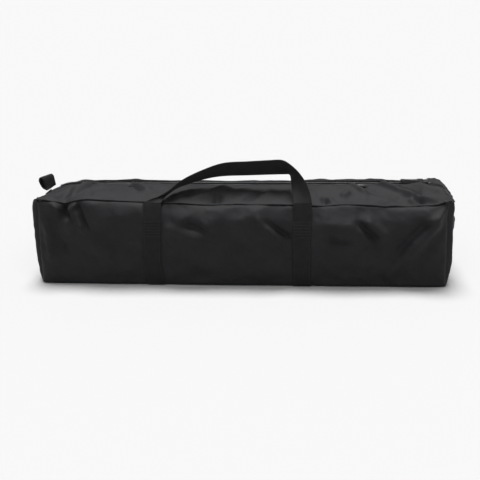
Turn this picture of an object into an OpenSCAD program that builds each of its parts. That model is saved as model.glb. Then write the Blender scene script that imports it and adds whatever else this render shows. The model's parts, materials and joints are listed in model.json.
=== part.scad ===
// Long soft carry bag with a zip top, two webbing handles and a webbing end tab.
// Millimetres. X runs along the bag, Y from front to back, Z up.
// The origin is the middle of the face that the bag stands on.

/* [Bag] */
// Length from end panel to end panel
bag_length = 560; // [500:10:620]
// Depth from the front panel to the back panel, at the seams
bag_depth = 130; // [120:2:140]
// Height of the top seams
seam_height = 116; // [106:2:126]
// Rise of the top above the top seams
crown_rise = 14; // [12:1:17]
// Outward bulge of the front and back panels at mid height
panel_bulge = 2.5; // [0:0.5:5]
// Thickness of the coated cloth
cloth_t = 1.6; // [1.2:0.1:2]
// Thickness of the base, where cloth and webbing lie in one layer
base_t = 3.2; // [2.8:0.1:4]

/* [Webbing] */
// Width of the webbing
strap_w = 25; // [20:1:30]
// Thickness of the webbing
strap_t = 1.6; // [1.2:0.1:2]
// Middle of the left carrying strap
left_strap_x = -118; // [-130:2:-100]
// Middle of the right carrying strap
right_strap_x = 84.5; // [70:0.5:100]
// Height where the sewn part of a strap ends
stitch_z = 94; // [84:1:98]
// Turn of the back handle from leaning over the top to hanging outside
back_hang = 186; // [183:1:190]

/* [Zip] */
// Width of one zip tape
tape_w = 15; // [13:1:17]
// Thickness of a zip tape
tape_t = 0.8; // [0.6:0.1:1]
// Width of one coil
coil_w = 2.7; // [2.3:0.1:3]
// Height of a coil
coil_h = 2.2; // [1.8:0.1:2.4]
// Gap between the two coils, where the slider's post runs
coil_gap = 1; // [0.8:0.1:1.2]
// Length of the slider
slider_l = 20; // [16:1:22]
// Width of the slider
slider_w = 11.2; // [10:0.2:13]
// Length of the pull tab from its pivot
pull_l = 27; // [22:1:32]

/* [End tab] */
// Radius of the tab's loop, outside
tab_r = 6.2; // [5:0.2:8]
// Height of the loop's centre above the seam
tab_rise = 12.5; // [10:0.5:16]
// Lean of the tab away from the bag, in degrees
tab_lean = 14; // [0:1:25]

/* [Hidden] */
$fn = 48;

cloth_colour = "#242427";
lining_colour = "#303033";
webbing_colour = "#1b1b1d";
binding_colour = "#161618";
thread_colour = "#101012";
tape_colour = "#1d1d20";
coil_colour = "#131315";
metal_colour = "#4a4d52";

// A hair of air between neighbours, so that their faces stay apart
gap = 0.2;

half_l = bag_length / 2;
half_w = bag_depth / 2;
end_face = half_l - cloth_t;
panel_top = seam_height - 3.5;

// The zip's straight run, and where its ends start to dip to the end seams
zip_z = seam_height + crown_rise - 0.5;
flat_end = half_l - 18;
track_end = half_l - 42;
flap_end = end_face - 0.4;
stop_l = 3;
tape_z = zip_z - coil_h / 2 - tape_t;

// How much of the crown is left at the end panels
end_crown = 0.3;

// Line where the raised front handle bends over the top edge
handle_y = half_w + 1.5;
handle_z = seam_height + 2;
// Line where the hanging back handle folds outward, below the top edge
back_fold_y = half_w + 3.6;
back_fold_z = seam_height - 6;

function mix(a, b, t) = a + (b - a) * t;
function ease(t) = let (c = max(0, min(1, t))) c * c * (3 - 2 * c);

// Rise of the top above the seams: level beside the zip, then falling in a curve to each top seam
level_part = 0.25;
fall_power = 1.5;
function crown(y) =
    let (s = abs(y) / half_w)
    crown_rise * (1 - pow(max(0, s - level_part) / (1 - level_part), fall_power));
function crown_fade(x) = mix(1, end_crown, ease((abs(x) - (flat_end - 14)) / (end_face - flat_end + 14)));
function top_z(x, y) = seam_height + crown(y) * crown_fade(x);

// Outer face of the front panel at height z, as a distance from the bag's middle
function wall_y(z) = let (s = z / panel_top) half_w + panel_bulge * 4 * s * (1 - s);

function catmull(a, b, c, d, t) =
    0.5 * (2 * b + (c - a) * t + (2 * a - 5 * b + 4 * c - d) * t * t + (3 * b - a - 3 * c + d) * t * t * t);
function at(list, i) = list[max(0, min(len(list) - 1, i))];
function smooth_list(list, steps) = [
    for (i = [0 : len(list) - 2]) for (k = [0 : steps - 1])
        catmull(at(list, i - 1), list[i], list[i + 1], at(list, i + 2), k / steps),
    list[len(list) - 1]
];

function unit(v) = v / norm(v);

// ---------------------------------------------------------------- shared shapes

// Extrudes a section drawn in Y and Z along X
module along_x(x0, x1) {
    translate([x0, 0, 0]) rotate([90, 0, 90]) linear_extrude(height = x1 - x0) children();
}

// Extrudes a side view drawn in X and Z along Y
module along_y(y0, y1) {
    translate([0, y1, 0]) rotate([90, 0, 0]) linear_extrude(height = y1 - y0) children();
}

// Solid between two grids of points of the same size, row by row
module shell(upper, lower) {
    rows = len(upper);
    cols = len(upper[0]);
    points = concat([for (r = upper) each r], [for (r = lower) each r]);
    base = rows * cols;
    function up(i, j) = i * cols + j;
    function low(i, j) = base + i * cols + j;
    faces = concat(
        [for (i = [0 : rows - 2], j = [0 : cols - 2]) each [
            [up(i, j), up(i + 1, j), up(i + 1, j + 1)], [up(i, j), up(i + 1, j + 1), up(i, j + 1)],
            [low(i, j), low(i + 1, j + 1), low(i + 1, j)], [low(i, j), low(i, j + 1), low(i + 1, j + 1)]
        ]],
        [for (i = [0 : rows - 2]) each [
            [up(i, 0), low(i + 1, 0), up(i + 1, 0)], [up(i, 0), low(i, 0), low(i + 1, 0)],
            [up(i, cols - 1), up(i + 1, cols - 1), low(i + 1, cols - 1)],
            [up(i, cols - 1), low(i + 1, cols - 1), low(i, cols - 1)]
        ]],
        [for (j = [0 : cols - 2]) each [
            [up(0, j), up(0, j + 1), low(0, j + 1)], [up(0, j), low(0, j + 1), low(0, j)],
            [up(rows - 1, j), low(rows - 1, j + 1), up(rows - 1, j + 1)],
            [up(rows - 1, j), low(rows - 1, j), low(rows - 1, j + 1)]
        ]]
    );
    polyhedron(points, faces, convexity = 6);
}

// ---------------------------------------------------------------- panels

wall_steps = 12;
wall_heights = [for (i = [0 : wall_steps]) mix(strap_t + 0.1, panel_top, i / wall_steps)];

module wall_panel() {
    along_x(-end_face + gap, end_face - gap) polygon(concat(
        [for (z = wall_heights) [-wall_y(z), z]],
        [for (i = [wall_steps : -1 : 0]) [cloth_t - wall_y(wall_heights[i]), wall_heights[i]]]
    ));
}

module front_panel() {
    color(cloth_colour) wall_panel();
}

module back_panel() {
    color(cloth_colour) mirror([0, 1, 0]) wall_panel();
}

// The girth straps lie in two shallow channels, so that cloth and webbing rest on one plane
module base_panel() {
    inner_w = bag_depth - 2 * cloth_t - 2 * gap;
    channel = strap_t + 0.1;
    color(cloth_colour) difference() {
        translate([-end_face + gap, -inner_w / 2, 0]) cube([2 * end_face - 2 * gap, inner_w, base_t]);
        for (x = [left_strap_x, right_strap_x])
            translate([x - strap_w / 2 - gap, -half_w, -1]) cube([strap_w + 2 * gap, bag_depth, channel + 1]);
    }
}

end_steps = 16;
module end_outline() {
    polygon(concat(
        [[-half_w, strap_t + 0.1], [half_w, strap_t + 0.1], [half_w, seam_height]],
        [for (i = [1 : end_steps - 1]) let (y = mix(half_w, -half_w, i / end_steps))
            [y, seam_height + end_crown * crown(y)]],
        [[-half_w, seam_height]]
    ));
}

module left_end_panel() {
    color(cloth_colour) along_x(-half_l, -end_face) end_outline();
}

module right_end_panel() {
    color(cloth_colour) along_x(end_face, half_l) end_outline();
}

// One half of the top: it narrows near the ends to leave room for the sewn-down zip ends
inner_edge = 9;
inner_edge_at_ends = 15.5;
top_cols = 10;
function flap_inner(x) = mix(inner_edge, inner_edge_at_ends, ease((abs(x) - track_end + 4) / 8));
top_stations = concat(
    [for (i = [0 : 6]) mix(-flap_end, -track_end + 8, i / 6)],
    [for (i = [1 : 7]) mix(-track_end + 8, track_end - 8, i / 8)],
    [for (i = [0 : 6]) mix(track_end - 8, flap_end, i / 6)]
);
function top_grid(lift) = [
    for (x = top_stations) [
        for (j = [0 : top_cols])
            let (y = mix(-half_w + 0.3, -flap_inner(x), j / top_cols))
            [x, y, top_z(x, y) + lift]
    ]
];

module top_half() {
    shell(top_grid(cloth_t / 2), top_grid(-cloth_t / 2));
}

module top_front_panel() {
    color(cloth_colour) top_half();
}

module top_back_panel() {
    color(cloth_colour) mirror([0, 1, 0]) top_half();
}

// ---------------------------------------------------------------- inside bindings

binding_t = 1.4;
binding_w = 9;

module top_binding() {
    face = wall_y(panel_top) - cloth_t - gap;
    translate([-end_face + 3, -face, panel_top - binding_w])
        cube([2 * end_face - 6, binding_t, binding_w]);
}

module front_top_binding() {
    color(binding_colour) top_binding();
}

module back_top_binding() {
    color(binding_colour) mirror([0, 1, 0]) top_binding();
}

module end_binding() {
    outer = half_w - cloth_t - gap;
    along_x(end_face - gap - binding_t, end_face - gap) difference() {
        translate([-outer, base_t + gap]) square([2 * outer, panel_top - base_t - gap]);
        translate([binding_w - outer, base_t + binding_w]) square([2 * (outer - binding_w), seam_height]);
    }
}

module right_end_binding() {
    color(binding_colour) end_binding();
}

module left_end_binding() {
    color(binding_colour) mirror([1, 0, 0]) end_binding();
}

// ---------------------------------------------------------------- webbing on the body

leg_top = stitch_z + 10;
leg_steps = 10;
leg_heights = [for (i = [0 : leg_steps]) mix(0, leg_top, i / leg_steps)];

module leg(x) {
    along_x(x - strap_w / 2, x + strap_w / 2) polygon(concat(
        [for (z = leg_heights) [-wall_y(z) - 0.1 - strap_t, z]],
        [for (i = [leg_steps : -1 : 0]) [-wall_y(leg_heights[i]) - 0.1, leg_heights[i]]]
    ));
}

// A girth strap runs down the front, under the base and up the back
module girth_strap(x) {
    run = half_w + 0.1 + strap_t;
    leg(x);
    mirror([0, 1, 0]) leg(x);
    translate([x - strap_w / 2, -run, 0]) cube([strap_w, 2 * run, strap_t]);
}

module left_girth_strap() {
    color(webbing_colour) girth_strap(left_strap_x);
}

module right_girth_strap() {
    color(webbing_colour) girth_strap(right_strap_x);
}

// Rows of thread that end the sewn part of each strap
tack_rows = 6;
tack_pitch = 4;
thread_d = 0.6;
module tack_group(x) {
    for (i = [0 : tack_rows - 1])
        let (z = stitch_z - i * tack_pitch)
        translate([x - strap_w / 2 + 1.5, -wall_y(z) - 0.1 - strap_t - thread_d, z - 0.5])
            cube([strap_w - 3, thread_d - 0.05, 1]);
}

module front_bartacks() {
    color(thread_colour) for (x = [left_strap_x, right_strap_x]) tack_group(x);
}

module back_bartacks() {
    color(thread_colour) mirror([0, 1, 0]) for (x = [left_strap_x, right_strap_x]) tack_group(x);
}

// ---------------------------------------------------------------- zip

tape_inner = coil_gap / 2 + 0.3;
stop_z = zip_z - 0.2;

module coil_bar(x0, x1) {
    r = 0.7;
    translate([0, -coil_gap / 2 - coil_w / 2, zip_z]) along_x(x0, x1) union() {
        square([coil_w, coil_h - 2 * r], center = true);
        square([coil_w - 2 * r, coil_h], center = true);
        for (y = [-1, 1], z = [-1, 1]) translate([y * (coil_w / 2 - r), z * (coil_h / 2 - r)]) circle(r);
    }
}

module tape_strip() {
    translate([-track_end + 0.5, -tape_inner - tape_w, tape_z - 0.05])
        cube([2 * track_end - 1, tape_w, tape_t]);
}

module front_zip_tape() {
    color(tape_colour) tape_strip();
}

module back_zip_tape() {
    color(tape_colour) mirror([0, 1, 0]) tape_strip();
}

module front_zip_coil() {
    color(coil_colour) coil_bar(-track_end + 0.5, track_end - 0.5);
}

module back_zip_coil() {
    color(coil_colour) mirror([0, 1, 0]) coil_bar(-track_end + 0.5, track_end - 0.5);
}

// The last stretch of both tapes, sewn down to the end panel, dips towards the end seam
tape_dip = zip_z - (seam_height + end_crown * crown(0)) + 1;
tape_end_edge = inner_edge_at_ends - 1.5;
module tape_end() {
    dip = [[track_end + 0.5, tape_z], [flat_end, tape_z], [end_face - gap, tape_z - tape_dip]];
    for (side = [0, 1]) mirror([0, side, 0])
        along_y(tape_inner, tape_end_edge) polygon(concat(
            [for (p = dip) p],
            [for (i = [2 : -1 : 0]) dip[i] + [0, tape_t - 0.05]]
        ));
}

module right_zip_tape_end() {
    color(tape_colour) tape_end();
}

module left_zip_tape_end() {
    color(tape_colour) mirror([1, 0, 0]) tape_end();
}

module coil_end() {
    for (side = [0, 1]) mirror([0, side, 0]) coil_bar(track_end + 0.5, flat_end - stop_l - 0.5);
}

module right_zip_coil_end() {
    color(coil_colour) coil_end();
}

module left_zip_coil_end() {
    color(coil_colour) mirror([1, 0, 0]) coil_end();
}

module stop_block() {
    translate([flat_end - stop_l, -coil_gap / 2 - coil_w, stop_z - coil_h / 2 + 0.25])
        cube([stop_l, coil_gap + 2 * coil_w, coil_h]);
}

module right_zip_stop() {
    color(metal_colour) stop_block();
}

module left_zip_stop() {
    color(metal_colour) mirror([1, 0, 0]) stop_block();
}

// ---------------------------------------------------------------- slider

// The slider rests against the right stop, at the closed end of its track
slider_x = flat_end - stop_l - slider_l / 2 - gap;
plate_t = 1.3;
top_plate_z = zip_z + coil_h / 2 + 0.4;
low_plate_z = tape_z - 0.45 - plate_t;
flange_t = 1.5;
post_t = 0.5;
bridge_x = 1;
pull_z = top_plate_z + plate_t + 1.5;

// The slider's pieces are drawn with the closed coil leaving towards +X, then turned round
module on_track(shift) {
    translate([slider_x - shift, 0, 0]) mirror([1, 0, 0]) children();
}

// Outline of a slider plate: it narrows towards the side where the closed coil leaves it
module plate_outline() {
    nose = slider_w / 2 - 1.6;
    polygon([
        [-slider_l / 2, -slider_w / 2 + 1.5], [-slider_l / 2 + 2, -slider_w / 2], [0, -slider_w / 2],
        [slider_l / 2 - 2, -nose], [slider_l / 2, -nose + 1.5], [slider_l / 2, nose - 1.5],
        [slider_l / 2 - 2, nose], [0, slider_w / 2], [-slider_l / 2 + 2, slider_w / 2],
        [-slider_l / 2, slider_w / 2 - 1.5]
    ]);
}

module slider_body() {
    inner = coil_gap / 2 + coil_w + 0.4;
    color(metal_colour) on_track(0) {
        translate([0, 0, top_plate_z]) linear_extrude(height = plate_t) plate_outline();
        translate([0, 0, low_plate_z]) linear_extrude(height = plate_t) plate_outline();
        translate([-slider_l / 2 + 1, -post_t / 2, low_plate_z]) cube([5, post_t, top_plate_z - low_plate_z + 1]);
        for (side = [0, 1]) mirror([0, side, 0])
            translate([-slider_l / 2 + 2, inner, zip_z - coil_h / 2 + 0.5])
                cube([slider_l / 2 - 2, flange_t, top_plate_z - zip_z + coil_h / 2]);
    }
}

// An arch over the top plate that holds the pull tab
module slider_bridge() {
    foot = 1.6;
    span = 9;
    rise = 3.4;
    color(metal_colour) on_track(bridge_x) translate([0, 0, top_plate_z + plate_t])
        along_y(-1.2, 1.2) difference() {
            union() {
                translate([-span / 2, 0]) square([span, rise - 1]);
                translate([-span / 2 + 1, 0]) square([span - 2, rise]);
            }
            translate([-span / 2 + foot, -1]) square([span - 2 * foot, rise]);
        }
}

// The pull tab lies along the closed zip, its eye round the bridge
module pull_tab() {
    eye_l = 6.5;
    pull_t = 1.3;
    color(metal_colour) on_track(bridge_x) translate([0, 0, pull_z - pull_t / 2])
        linear_extrude(height = pull_t) difference() {
            union() {
                translate([-1, -3.2]) square([eye_l + 1, 6.4]);
                translate([eye_l - 1, -2.6]) square([pull_l - eye_l - 3, 5.2]);
                translate([pull_l - 4, 0]) circle(4);
            }
            translate([0.4, -1.6]) square([eye_l - 2, 3.2]);
            translate([pull_l - 4, 0]) circle(1.8);
        }
}

// ---------------------------------------------------------------- handles

// Each row is a pair of points across the webbing, its inner and then its outer edge.
// X is measured from the left strap's middle, on straps that are 202.5 apart; Y and Z from the pivot.
handle_rows = [
    [[12.5, 0, 0], [-12.5, 0, 0]],
    [[17, 9, 6], [-2, 2, 4.5]],
    [[23, 21, 9.5], [10, 5, 8.5]],
    [[31, 30, 13.5], [22, 7.5, 15]],
    [[50, 37, 19], [41, 16, 28.5]],
    [[73, 40.5, 24.5], [66, 24, 39.5]],
    [[96, 41.5, 27.5], [95, 29, 48.5]],
    [[128, 41.5, 28.5], [128, 30, 50.5]],
    [[158, 41.5, 29.5], [157, 30.5, 52]],
    [[176, 41.5, 30], [174, 30, 52.5]],
    [[185, 39, 30], [185, 25, 48]],
    [[187, 31, 25.5], [198, 16, 38]],
    [[188, 20, 17], [208, 9.5, 24]],
    [[189.5, 8, 7.5], [213.5, 4, 9.5]],
    [[190, 0, 0], [215, 0, 0]]
];
handle_steps = 3;

module handle_loop() {
    stretch = (right_strap_x - left_strap_x) / 202.5;
    inner = smooth_list([for (r = handle_rows) r[0]], handle_steps);
    outer = smooth_list([for (r = handle_rows) r[1]], handle_steps);
    n = len(inner);
    mid = [for (i = [0 : n - 1]) (inner[i] + outer[i]) / 2];
    face = [for (i = [0 : n - 1])
        let (run = at(mid, i + 1) - at(mid, i - 1))
        unit(cross(unit(run), unit(inner[i] - outer[i]))) * strap_t / 2];
    function place(p) = [left_strap_x + p[0] * stretch, p[1], p[2]];
    shell(
        [for (i = [0 : n - 1]) [place(outer[i] + face[i]), place(inner[i] + face[i])]],
        [for (i = [0 : n - 1]) [place(outer[i] - face[i]), place(inner[i] - face[i])]]
    );
}

module front_handle() {
    color(webbing_colour) translate([0, -handle_y, handle_z]) handle_loop();
}

module back_handle() {
    color(webbing_colour) mirror([0, 1, 0]) translate([0, -back_fold_y, back_fold_z])
        rotate([back_hang, 0, 0]) handle_loop();
}

// ---------------------------------------------------------------- end tab

tab_x = -half_l + 1;
tab_z = seam_height + 5;
module teardrop(r, tip, half_base) {
    start = asin((half_base - r) / (tab_rise - tip));
    polygon(concat(
        [[-half_base, tip], [half_base, tip]],
        [for (a = [start : 15 : 180 - start]) [r * cos(a), tab_rise + r * sin(a)]]
    ));
}

module end_tab() {
    color(webbing_colour) translate([tab_x, 0, tab_z]) rotate([0, -tab_lean, 0])
        along_y(-strap_w / 2, strap_w / 2) difference() {
            teardrop(tab_r, 0.6, strap_t);
            teardrop(tab_r - strap_t, 5, 0.3);
        }
}

// The tab's ends, sewn flat to the outside of the end panel under the seam
module end_tab_anchor() {
    color(webbing_colour) translate([-half_l - 0.1 - strap_t, -strap_w / 2, tab_z - 12])
        cube([strap_t, strap_w, 10]);
}

// ---------------------------------------------------------------- nodes

front_panel();
back_panel();
base_panel();
left_end_panel();
right_end_panel();
front_top_binding();
back_top_binding();
left_end_binding();
right_end_binding();
left_girth_strap();
right_girth_strap();
front_bartacks();
back_bartacks();
left_zip_tape_end();
right_zip_tape_end();
left_zip_coil_end();
right_zip_coil_end();
left_zip_stop();
right_zip_stop();
top_front_panel();
front_zip_tape();
front_zip_coil();
top_back_panel();
back_zip_tape();
back_zip_coil();
front_handle();
back_handle();
slider_body();
slider_bridge();
pull_tab();
end_tab();
end_tab_anchor();
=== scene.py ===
"""Looks of a long soft carry bag: sewn coated cloth, webbing straps and a coil zip.

Lengths in this script are in millimetres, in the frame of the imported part: X along the bag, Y
from front to back, Z up.
"""
import json
import math

import bmesh
import bpy
import numpy as np
from mathutils import Matrix, Vector


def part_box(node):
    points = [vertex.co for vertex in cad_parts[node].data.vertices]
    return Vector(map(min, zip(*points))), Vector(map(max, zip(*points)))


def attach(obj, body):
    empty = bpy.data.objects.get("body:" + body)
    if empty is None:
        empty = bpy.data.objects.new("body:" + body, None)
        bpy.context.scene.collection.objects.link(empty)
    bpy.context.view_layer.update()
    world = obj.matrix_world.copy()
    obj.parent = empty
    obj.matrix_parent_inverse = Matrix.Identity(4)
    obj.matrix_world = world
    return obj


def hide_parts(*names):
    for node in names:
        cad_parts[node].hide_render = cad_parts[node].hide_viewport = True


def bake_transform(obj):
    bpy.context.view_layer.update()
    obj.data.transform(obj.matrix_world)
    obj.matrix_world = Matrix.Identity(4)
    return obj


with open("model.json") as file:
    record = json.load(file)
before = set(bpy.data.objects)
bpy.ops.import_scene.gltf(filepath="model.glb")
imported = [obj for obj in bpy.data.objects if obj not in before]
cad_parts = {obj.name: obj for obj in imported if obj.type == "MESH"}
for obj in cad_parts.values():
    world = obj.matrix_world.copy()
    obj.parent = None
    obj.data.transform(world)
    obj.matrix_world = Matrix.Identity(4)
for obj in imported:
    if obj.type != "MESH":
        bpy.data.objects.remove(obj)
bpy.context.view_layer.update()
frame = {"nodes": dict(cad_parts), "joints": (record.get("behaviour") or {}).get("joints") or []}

MM = 0.001
FRONT = -1
BACK = 1
LEFT = -1
RIGHT = 1
SIDES = {FRONT: "front", BACK: "back"}
ENDS = {LEFT: "left", RIGHT: "right"}


# -------- sizes, from the frame

def cad_box(node):
    low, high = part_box(node)
    return np.array(low) / MM, np.array(high) / MM


def joint_place(name):
    joint = next(j for j in frame["joints"] if j["name"] == name)
    return np.array(joint["pos_m"]) / MM


HALF_L, HALF_W = cad_box("right_end_panel")[1][:2]
STRAP_LOW, STRAP_HIGH = cad_box("left_girth_strap")
STRAP_W = STRAP_HIGH[0] - STRAP_LOW[0]
LEFT_X = (STRAP_LOW[0] + STRAP_HIGH[0]) / 2
RIGHT_X = sum(b[0] for b in cad_box("right_girth_strap")) / 2
TACK_TOP = cad_box("front_bartacks")[1][2] - 0.5
COIL_LOW, COIL_HIGH = cad_box("front_zip_coil")
ZIP_Z = (COIL_LOW[2] + COIL_HIGH[2]) / 2
TRACK_END = COIL_HIGH[0]
TAPE_TOP = cad_box("front_zip_tape")[1][2]
STOP_FAR = cad_box("right_zip_stop")[1][0]
FRONT_FOLD = joint_place("front_handle_swing")
BACK_FOLD = joint_place("back_handle_swing")
TAB_FOLD = joint_place("end_tab_flop")

CLOTH_T = 0.9
STRAP_T = 1.5
BINDING_W = 9
BINDING_T = 1.8


# -------- numbers and curves

def ease(t):
    t = np.clip(t, 0, 1)
    return t * t * (3 - 2 * t)


def unit(v):
    return v / np.maximum(np.linalg.norm(v, axis=-1, keepdims=True), 1e-9)


def curve(points, x):
    """Smooth curve through (x, value) points on unevenly spaced x, level past its ends."""
    px, py = np.array(points, float).T
    slope = np.gradient(py, px)
    x = np.asarray(x, float)
    i = np.clip(np.searchsorted(px, x) - 1, 0, len(px) - 2)
    step = px[i + 1] - px[i]
    t = np.clip((x - px[i]) / step, 0, 1)
    return ((2 * t**3 - 3 * t**2 + 1) * py[i] + (t**3 - 2 * t**2 + t) * step * slope[i]
            + (3 * t**2 - 2 * t**3) * py[i + 1] + (t**3 - t**2) * step * slope[i + 1])


def smooth_path(points, steps):
    """Catmull-Rom points through a list of points, a number of steps to each span."""
    p = np.array(points, float)
    padded = np.concatenate([[2 * p[0] - p[1]], p, [2 * p[-1] - p[-2]]])
    made = []
    for i in range(len(p) - 1):
        a, b, c, d = padded[i:i + 4]
        for t in np.arange(steps) / steps:
            made.append(0.5 * (2 * b + (c - a) * t + (2 * a - 5 * b + 4 * c - d) * t**2
                               + (3 * b - a - 3 * c + d) * t**3))
    made.append(p[-1])
    return np.array(made)


NOISE_CELLS = 64


def noise(u, v, seed):
    """Smooth noise from -1 to 1, with one new value to each unit step of u and v."""
    grid = np.random.default_rng(seed).uniform(-1, 1, (NOISE_CELLS, NOISE_CELLS))
    u, v = np.broadcast_arrays(np.asarray(u, float), np.asarray(v, float))
    iu, iv = np.floor(u).astype(int), np.floor(v).astype(int)
    fu, fv = ease(u - iu), ease(v - iv)

    def cell(du, dv):
        return grid[(iu + du) % NOISE_CELLS, (iv + dv) % NOISE_CELLS]

    low = cell(0, 0) * (1 - fu) + cell(1, 0) * fu
    high = cell(0, 1) * (1 - fu) + cell(1, 1) * fu
    return low * (1 - fv) + high * fv


FOLD_GAIN = 2.15


def strokes(u, v, folds):
    """Height of a list of folds, each a soft ridge or valley: (u0, v0, u1, v1, width, height)."""
    total = np.zeros(np.broadcast(u, v).shape)
    for u0, v0, u1, v1, width, height in folds:
        du, dv = u1 - u0, v1 - v0
        length = math.hypot(du, dv)
        along = ((u - u0) * du + (v - v0) * dv) / length**2
        off = ((u - u0) * dv - (v - v0) * du) / length
        fade = ease((along + 0.25) / 0.45) * ease((1.25 - along) / 0.45)
        total += height * fade * np.exp(-(off / width) ** 2)
    return FOLD_GAIN * total


def stations(length, step):
    """Places from 0 to length, close together near both ends, where the seams are."""
    edge = [0, 0.45, 1, 1.7, 2.6, 3.8, 5.4, 7.4]
    count = max(2, round((length - 2 * edge[-1]) / step))
    middle = np.linspace(edge[-1], length - edge[-1], count + 1)
    return np.concatenate([edge[:-1], middle, length - np.array(edge[:-1])[::-1]])


# -------- meshes

def xyz(x, y, z):
    return np.stack(np.broadcast_arrays(x, y, z), axis=-1)


def add_object(name, data):
    made = bpy.data.objects.new(name, data)
    bpy.context.scene.collection.objects.link(made)
    return made


def make_mesh(name, points, faces, run, material, second=None):
    """A piece from points. run holds each point's place on its cloth; second is (material, faces)."""
    mesh = bpy.data.meshes.new(name)
    mesh.from_pydata((np.asarray(points) * MM).tolist(), [], np.asarray(faces).tolist())
    mesh.materials.append(material)
    if second:
        mesh.materials.append(second[0])
        index = np.zeros(len(faces), np.int32)
        index[second[1]] = 1
        mesh.polygons.foreach_set("material_index", index)
    place = mesh.attributes.new("run", "FLOAT_VECTOR", "POINT")
    place.data.foreach_set("vector", np.asarray(run, np.float32).ravel())
    mesh.shade_smooth()
    mesh.set_sharp_from_angle(angle=math.radians(50))
    return add_object(name, mesh)


def normals(points):
    return unit(np.cross(np.gradient(points, axis=0), np.gradient(points, axis=1)))


def quads(rows, cols, base):
    i, j = np.meshgrid(np.arange(rows - 1), np.arange(cols - 1), indexing="ij")
    a = base + i * cols + j
    return np.stack([a, a + cols, a + cols + 1, a + 1], axis=-1).reshape(-1, 4)


def border(rows, cols):
    """Point numbers round the edge of a grid, in order."""
    top = np.arange(cols)
    right = np.arange(1, rows) * cols + cols - 1
    bottom = (rows - 1) * cols + np.arange(cols - 2, -1, -1)
    left = np.arange(rows - 2, 0, -1) * cols
    return np.concatenate([top, right, bottom, left])


def cloth_piece(name, outer, thickness, run, material, away, inside=None):
    """A closed sheet: a grid of points, and the same grid one thickness away from the given way out."""
    if np.sum(normals(outer) @ np.array(away, float)) < 0:
        outer, run = outer[::-1], run[::-1]
    rows, cols = outer.shape[:2]
    inner = outer - normals(outer) * thickness
    count = rows * cols
    edge = border(rows, cols)
    following = np.roll(edge, -1)
    sides = np.stack([edge, following, following + count, edge + count], axis=-1)
    backs = quads(rows, cols, count)[:, ::-1]
    faces = np.concatenate([quads(rows, cols, 0), backs, sides])
    points = np.concatenate([outer.reshape(-1, 3), inner.reshape(-1, 3)])
    flat = np.concatenate([run, np.zeros(run.shape[:2] + (1,))], axis=2).reshape(-1, 3)
    run_all = np.concatenate([flat, flat + [0, 0, 1]])
    first = (rows - 1) * (cols - 1)
    second = (inside, slice(first, 2 * first)) if inside else None
    return make_mesh(name, points, faces, run_all, material, second)


def facing_out(points, faces):
    """Four-sided faces, turned over if they enclose a negative volume."""
    a, b, c, d = (points[faces[:, k]] for k in range(4))
    volume = np.sum(np.cross(b - a, c - a) * a) + np.sum(np.cross(c - a, d - a) * a)
    return faces if volume > 0 else faces[:, ::-1]


# Cloth coordinates of thin tubes grow by these from ring to ring and from point to point
RING_RUN = 0.7
POINT_RUN = 0.5


def ring_tube(name, rings, material, run=None, loop=False):
    """Closed tubes in one mesh, from an array of (tube, ring, point, xyz).

    A loop's last ring joins its first.
    """
    rings = rings if rings.ndim == 4 else rings[None]
    tubes, n, m = rings.shape[:3]
    points = rings.reshape(-1, 3)
    i, j = np.meshgrid(np.arange(n if loop else n - 1), np.arange(m), indexing="ij")
    ahead, aside = (i + 1) % n, (j + 1) % m
    one = np.stack([i * m + j, i * m + aside, ahead * m + aside, ahead * m + j], axis=-1).reshape(-1, 4)
    if not loop:
        fold = np.arange(m // 2 - 1)
        cap = np.stack([fold, fold + 1, m - 2 - fold, m - 1 - fold], axis=-1)
        one = np.concatenate([one, cap[:, ::-1], cap + (n - 1) * m])
    start = np.arange(tubes)[:, None, None] * n * m
    faces = facing_out(points, (one[None] + start).reshape(-1, 4))
    if run is None:
        run = np.zeros((tubes, n, m, 3))
        run[..., 0] = RING_RUN * np.arange(n)[:, None]
        run[..., 1] = POINT_RUN * np.arange(m)
    return make_mesh(name, points, faces, run, material)


def finish(piece, slot, *nodes):
    if nodes:
        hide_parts(*nodes)


# -------- materials

def new_material(name, colour, roughness, specular, sheen):
    material = bpy.data.materials.new(name)
    material.use_nodes = True
    shader = material.node_tree.nodes["Principled BSDF"]
    shader.inputs["Base Color"].default_value = (*colour, 1)
    shader.inputs["Roughness"].default_value = roughness
    shader.inputs["Specular IOR Level"].default_value = specular
    shader.inputs["Sheen Weight"].default_value = sheen
    shader.inputs["Sheen Roughness"].default_value = 0.45
    return material


def node(material, kind, **inputs):
    made = material.node_tree.nodes.new("ShaderNode" + kind)
    for key, value in inputs.items():
        if key.startswith("set_"):
            setattr(made, key[4:], value)
        else:
            made.inputs[key.replace("_", " ")].default_value = value
    return made


def wire(source, target):
    source.id_data.links.new(source, target)


def shader_input(material, name):
    return material.node_tree.nodes["Principled BSDF"].inputs[name]


def calculate(material, operation, *values):
    """The output of a Math node over numbers and other nodes' outputs."""
    made = node(material, "Math", set_operation=operation)
    for socket, value in zip(made.inputs, values):
        if isinstance(value, float):
            socket.default_value = value
        else:
            wire(value, socket)
    return made.outputs[0]


def run_coordinates(material, scale):
    """The place on the cloth, in millimetres, times a scale for each way."""
    place = node(material, "Attribute", set_attribute_name="run")
    sized = node(material, "Mapping", Scale=scale)
    wire(place.outputs["Vector"], sized.inputs["Vector"])
    return sized.outputs["Vector"]


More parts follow.
